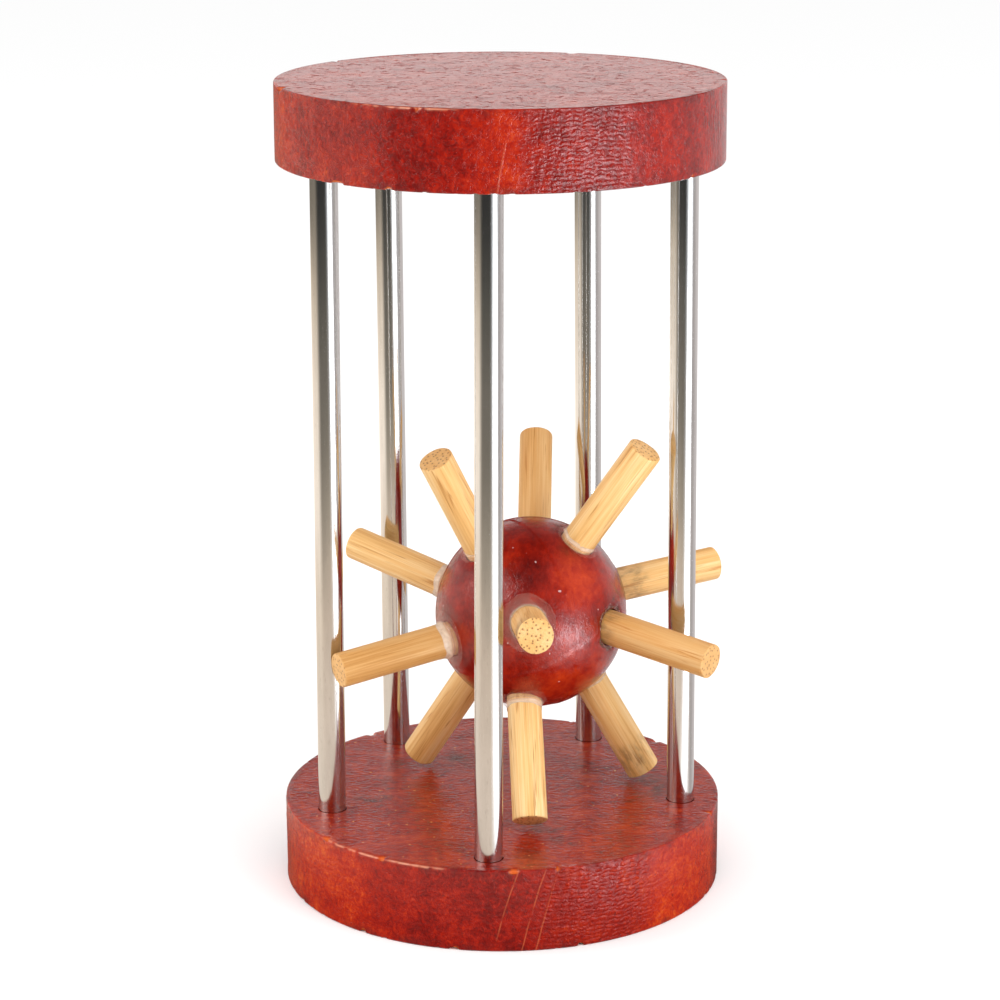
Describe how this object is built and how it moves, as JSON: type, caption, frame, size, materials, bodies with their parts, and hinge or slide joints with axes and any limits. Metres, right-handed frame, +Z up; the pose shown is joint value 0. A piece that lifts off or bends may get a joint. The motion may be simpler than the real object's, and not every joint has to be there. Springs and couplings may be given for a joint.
{
  "type": "cage puzzle",
  "caption": "Cage puzzle: two round red-stained boards joined by steel rods, with a ball stuck full of bamboo pegs standing loose between them.",
  "frame": {"origin": "middle of the base board's underside, on the surface that the puzzle stands on", "axes": "+Z up along the rods, -Y towards the front, where one rod stands in the middle and the wide gap between rods is to its right; +X to the right"},
  "size_m": [0.102, 0.101, 0.184],
  "materials": {
    "board": "gloss",
    "ball": "gloss",
    "rod": "polished",
    "peg": "satin"
  },
  "bodies": {
    "root": {"base_board": "board", "top_board": "board", "rod_left": "rod", "rod_front": "rod", "rod_right": "rod", "rod_back_right": "rod", "rod_back_left": "rod", "ball": "ball", "peg_front": "peg", "peg_upper_right": "peg", "peg_upper_left": "peg", "peg_left": "peg", "peg_foot_front": "peg", "peg_right": "peg", "peg_right_back": "peg", "peg_top": "peg", "peg_left_back": "peg", "peg_foot_left": "peg", "peg_foot_right": "peg", "peg_back": "peg"}
  },
  "joints": []
}
